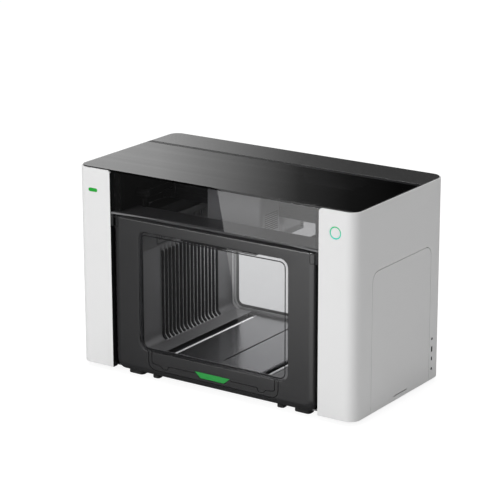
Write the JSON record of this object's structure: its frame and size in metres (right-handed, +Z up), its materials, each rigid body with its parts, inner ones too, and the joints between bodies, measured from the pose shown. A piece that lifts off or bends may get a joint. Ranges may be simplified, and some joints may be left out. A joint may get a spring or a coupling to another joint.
{
  "type": "desktop laser cutter",
  "caption": "Desktop laser cutter with a flip-up windowed front door, a hinged tinted glass lid, a grooved chamber and a scanning laser head on a two-axis gantry.",
  "frame": {"origin": "middle of the underside, on the surface the feet stand on", "axes": "+X along the front towards the power button side, +Y from front to back, +Z up"},
  "size_m": [0.72, 0.368, 0.466],
  "materials": {
    "white_paint": "fine satin",
    "dark_paint": "satin",
    "black_plastic": "matte",
    "tinted_glass": "polished",
    "clear_glass": "polished",
    "grey_metal": "satin",
    "bright_metal": "polished",
    "silver_paint": "satin",
    "leaf_green": "satin",
    "ring_light": "translucent",
    "rubber": "matte",
    "board": "solder mask"
  },
  "bodies": {
    "cabinet": {"base_pan": "grey_metal", "feet": "rubber", "left_side_cover": "white_paint", "right_side_cover": "white_paint", "rear_panel": "white_paint", "rear_window": "clear_glass", "rear_window_trim": "black_plastic", "rear_top_strip": "dark_paint", "rear_top_frame": "grey_metal", "side_frames": "dark_paint", "rail_beams": "dark_paint", "deck_beam": "dark_paint", "front_bulkhead": "dark_paint", "chamber_walls": "dark_paint", "vent_bands": "silver_paint", "floor_tray": "dark_paint", "work_plate": "grey_metal", "front_sill_grille": "dark_paint", "guide_rods": "bright_metal", "light_bar": "black_plastic", "y_rails": "bright_metal", "y_belts": "black_plastic", "y_motor": "black_plastic", "door_hinges": "black_plastic", "lid_hinges": "black_plastic", "button_ring_light": "ring_light", "status_badge": "leaf_green", "port_block": "black_plastic", "filter_cartridge": "silver_paint", "fan_frame": "black_plastic", "exhaust_collar": "black_plastic", "power_inlet": "black_plastic", "power_supply": "grey_metal", "control_board": "board"},
    "door": {"door_frame": "dark_paint", "door_window": "clear_glass", "door_seal": "black_plastic", "handle_panel": "dark_paint"},
    "latch": {"latch_tab": "leaf_green"},
    "lid": {"lid_glass": "tinted_glass", "lid_front_glass": "tinted_glass", "lid_hinge_rail": "black_plastic"},
    "gantry": {"x_beam_front": "black_plastic", "x_beam_rear": "black_plastic", "gantry_ends": "grey_metal", "x_rail": "bright_metal", "x_belt": "rubber", "x_motor": "black_plastic"},
    "head": {"head_front_housing": "silver_paint", "head_rear_housing": "silver_paint", "head_neck": "silver_paint", "x_carriage": "grey_metal", "scan_lens": "black_plastic"},
    "x_drive": {"x_drive_pulley": "bright_metal"},
    "x_idler": {"x_idler_pulley": "bright_metal"},
    "y_drive": {"y_drive_shaft": "bright_metal"},
    "button": {"power_button": "white_paint"},
    "filter_door": {"filter_cover": "white_paint"},
    "fan": {"fan_rotor": "black_plastic"},
    "rocker": {"rocker_switch": "black_plastic"}
  },
  "joints": [
    {"name": "door_hinge", "type": "hinge", "parent": "cabinet", "child": "door", "pos_m": [0, -0.178, 0.36], "axis": [-1, 0, 0], "range_deg": [0, 90]},
    {"name": "latch_press", "type": "slide", "parent": "door", "child": "latch", "axis": [0, 1, 0], "range_m": [0, 0.002], "stiffness_N_per_m": 300, "springref_m": -0.002},
    {"name": "lid_hinge", "type": "hinge", "parent": "cabinet", "child": "lid", "pos_m": [0, 0.0827, 0.4637], "axis": [-1, 0, 0], "range_deg": [0, 75]},
    {"name": "gantry_slide", "type": "slide", "parent": "cabinet", "child": "gantry", "axis": [0, 1, 0], "range_m": [-0.005, 0.044]},
    {"name": "head_slide", "type": "slide", "parent": "gantry", "child": "head", "axis": [1, 0, 0], "range_m": [-0.115, 0.115]},
    {"name": "x_drive_spin", "type": "hinge", "parent": "gantry", "child": "x_drive", "pos_m": [-0.197, 0.102, 0.42], "axis": [0, 0, 1], "range_deg": [-870, 870]},
    {"name": "x_idler_spin", "type": "hinge", "parent": "gantry", "child": "x_idler", "pos_m": [0.197, 0.102, 0.42], "axis": [0, 0, 1], "range_deg": [-870, 870]},
    {"name": "y_drive_spin", "type": "hinge", "parent": "cabinet", "child": "y_drive", "pos_m": [0, 0.158, 0.402], "axis": [1, 0, 0], "range_deg": [-60, 360]},
    {"name": "button_press", "type": "slide", "parent": "cabinet", "child": "button", "axis": [0, 1, 0], "range_m": [0, 0.0015], "stiffness_N_per_m": 400, "springref_m": -0.0015},
    {"name": "filter_door_pull", "type": "slide", "parent": "cabinet", "child": "filter_door", "axis": [1, 0, 0], "range_m": [0, 0.06]},
    {"name": "fan_spin", "type": "hinge", "parent": "cabinet", "child": "fan", "pos_m": [0.295, 0.15, 0.36], "axis": [0, 1, 0], "continuous": true},
    {"name": "rocker_tilt", "type": "hinge", "parent": "cabinet", "child": "rocker", "pos_m": [-0.295, 0.178, 0.118], "axis": [-1, 0, 0], "range_deg": [0, 10]}
  ],
  "couplings": [
    {"joint": "x_drive_spin", "follows": "head_slide", "rad_per_m": 129.87},
    {"joint": "x_idler_spin", "follows": "head_slide", "rad_per_m": 129.87},
    {"joint": "y_drive_spin", "follows": "gantry_slide", "rad_per_m": 129.87}
  ]
}
